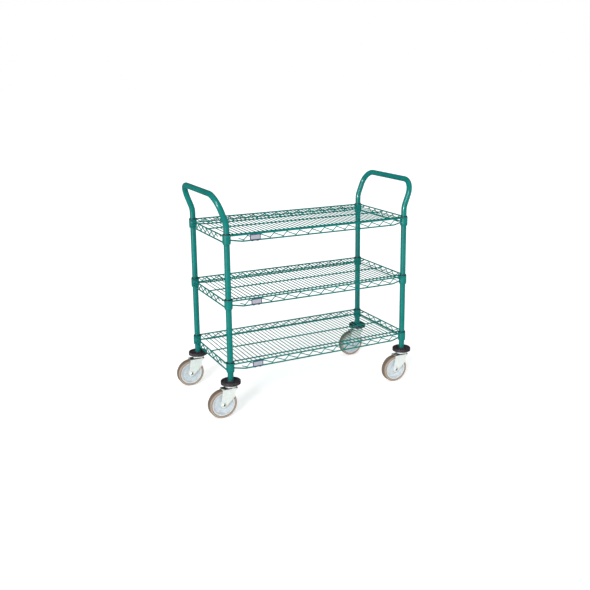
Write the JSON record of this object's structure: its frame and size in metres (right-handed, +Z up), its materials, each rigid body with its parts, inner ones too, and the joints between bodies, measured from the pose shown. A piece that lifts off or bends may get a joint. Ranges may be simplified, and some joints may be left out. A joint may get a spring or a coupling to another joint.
{
  "type": "wire shelf utility cart",
  "caption": "Wheeled utility cart with stacked green wire shelves between two bent-tube handle ends, on swivelling casters with round bumpers.",
  "frame": {"origin": "on the floor, under the middle of the cart's bounding box", "axes": "+X along the cart, away from the end that the casters trail towards; +Y across the cart, from the side with the label holders to the other; +Z up"},
  "size_m": [1.0383, 0.5052, 0.9765],
  "materials": {
    "green_epoxy": "baked green epoxy coating over steel, satin gloss",
    "black_plastic": "moulded black plastic",
    "label_plastic": "blank label holder, blue rim round a pale blank card",
    "zinc_steel": "bright zinc plate on pressed steel",
    "ball_steel": "polished hardened steel",
    "bumper_rubber": "dark grey moulded rubber",
    "core_plastic": "pale blue-grey moulded plastic",
    "tread_urethane": "tan cast polyurethane, slightly glossy",
    "bushing_plastic": "self-lubricating white plastic"
  },
  "bodies": {
    "cart_frame": {"left_handle_post": "green_epoxy", "right_handle_post": "green_epoxy", "bottom_shelf_collars": "green_epoxy", "bottom_shelf_rails": "green_epoxy", "bottom_shelf_trusses": "green_epoxy", "bottom_shelf_deck_wires": "green_epoxy", "bottom_shelf_support_rods": "green_epoxy", "bottom_shelf_split_sleeves": "black_plastic", "bottom_shelf_label_holder": "label_plastic", "middle_shelf_collars": "green_epoxy", "middle_shelf_rails": "green_epoxy", "middle_shelf_trusses": "green_epoxy", "middle_shelf_deck_wires": "green_epoxy", "middle_shelf_support_rods": "green_epoxy", "middle_shelf_split_sleeves": "black_plastic", "middle_shelf_label_holder": "label_plastic", "top_shelf_collars": "green_epoxy", "top_shelf_rails": "green_epoxy", "top_shelf_trusses": "green_epoxy", "top_shelf_deck_wires": "green_epoxy", "top_shelf_support_rods": "green_epoxy", "top_shelf_split_sleeves": "black_plastic", "top_shelf_label_holder": "label_plastic", "caster_stems": "zinc_steel", "post_inserts": "zinc_steel", "upper_races": "zinc_steel", "front_left_bumper": "bumper_rubber", "front_right_bumper": "bumper_rubber", "rear_left_bumper": "bumper_rubber", "rear_right_bumper": "bumper_rubber"},
    "front_left_swivel": {"front_left_fork": "zinc_steel", "front_left_bearing_balls": "ball_steel", "front_left_axle_bolt": "zinc_steel", "front_left_axle_nut": "zinc_steel"},
    "front_left_wheel": {"front_left_wheel_core": "core_plastic", "front_left_wheel_tread": "tread_urethane", "front_left_hub_bushing": "bushing_plastic"},
    "front_right_swivel": {"front_right_fork": "zinc_steel", "front_right_bearing_balls": "ball_steel", "front_right_axle_bolt": "zinc_steel", "front_right_axle_nut": "zinc_steel"},
    "front_right_wheel": {"front_right_wheel_core": "core_plastic", "front_right_wheel_tread": "tread_urethane", "front_right_hub_bushing": "bushing_plastic"},
    "rear_left_swivel": {"rear_left_fork": "zinc_steel", "rear_left_bearing_balls": "ball_steel", "rear_left_axle_bolt": "zinc_steel", "rear_left_axle_nut": "zinc_steel"},
    "rear_left_wheel": {"rear_left_wheel_core": "core_plastic", "rear_left_wheel_tread": "tread_urethane", "rear_left_hub_bushing": "bushing_plastic"},
    "rear_right_swivel": {"rear_right_fork": "zinc_steel", "rear_right_bearing_balls": "ball_steel", "rear_right_axle_bolt": "zinc_steel", "rear_right_axle_nut": "zinc_steel"},
    "rear_right_wheel": {"rear_right_wheel_core": "core_plastic", "rear_right_wheel_tread": "tread_urethane", "rear_right_hub_bushing": "bushing_plastic"}
  },
  "joints": [
    {"name": "front_left_swivel_turn", "type": "hinge", "parent": "cart_frame", "child": "front_left_swivel", "pos_m": [-0.41567, -0.20955, 0.131], "axis": [0, 0, 1], "continuous": true},
    {"name": "front_left_wheel_roll", "type": "hinge", "parent": "front_left_swivel", "child": "front_left_wheel", "pos_m": [-0.45666, -0.20955, 0.0625], "axis": [0, 1, 0], "continuous": true},
    {"name": "front_right_swivel_turn", "type": "hinge", "parent": "cart_frame", "child": "front_right_swivel", "pos_m": [0.46064, -0.20955, 0.131], "axis": [0, 0, 1], "continuous": true},
    {"name": "front_right_wheel_roll", "type": "hinge", "parent": "front_right_swivel", "child": "front_right_wheel", "pos_m": [0.41963, -0.20955, 0.0625], "axis": [0, 1, 0], "continuous": true},
    {"name": "rear_left_swivel_turn", "type": "hinge", "parent": "cart_frame", "child": "rear_left_swivel", "pos_m": [-0.41567, 0.20955, 0.131], "axis": [0, 0, 1], "continuous": true},
    {"name": "rear_left_wheel_roll", "type": "hinge", "parent": "rear_left_swivel", "child": "rear_left_wheel", "pos_m": [-0.45666, 0.20955, 0.0625], "axis": [0, 1, 0], "continuous": true},
    {"name": "rear_right_swivel_turn", "type": "hinge", "parent": "cart_frame", "child": "rear_right_swivel", "pos_m": [0.46064, 0.20955, 0.131], "axis": [0, 0, 1], "continuous": true},
    {"name": "rear_right_wheel_roll", "type": "hinge", "parent": "rear_right_swivel", "child": "rear_right_wheel", "pos_m": [0.41963, 0.20955, 0.0625], "axis": [0, 1, 0], "continuous": true}
  ]
}
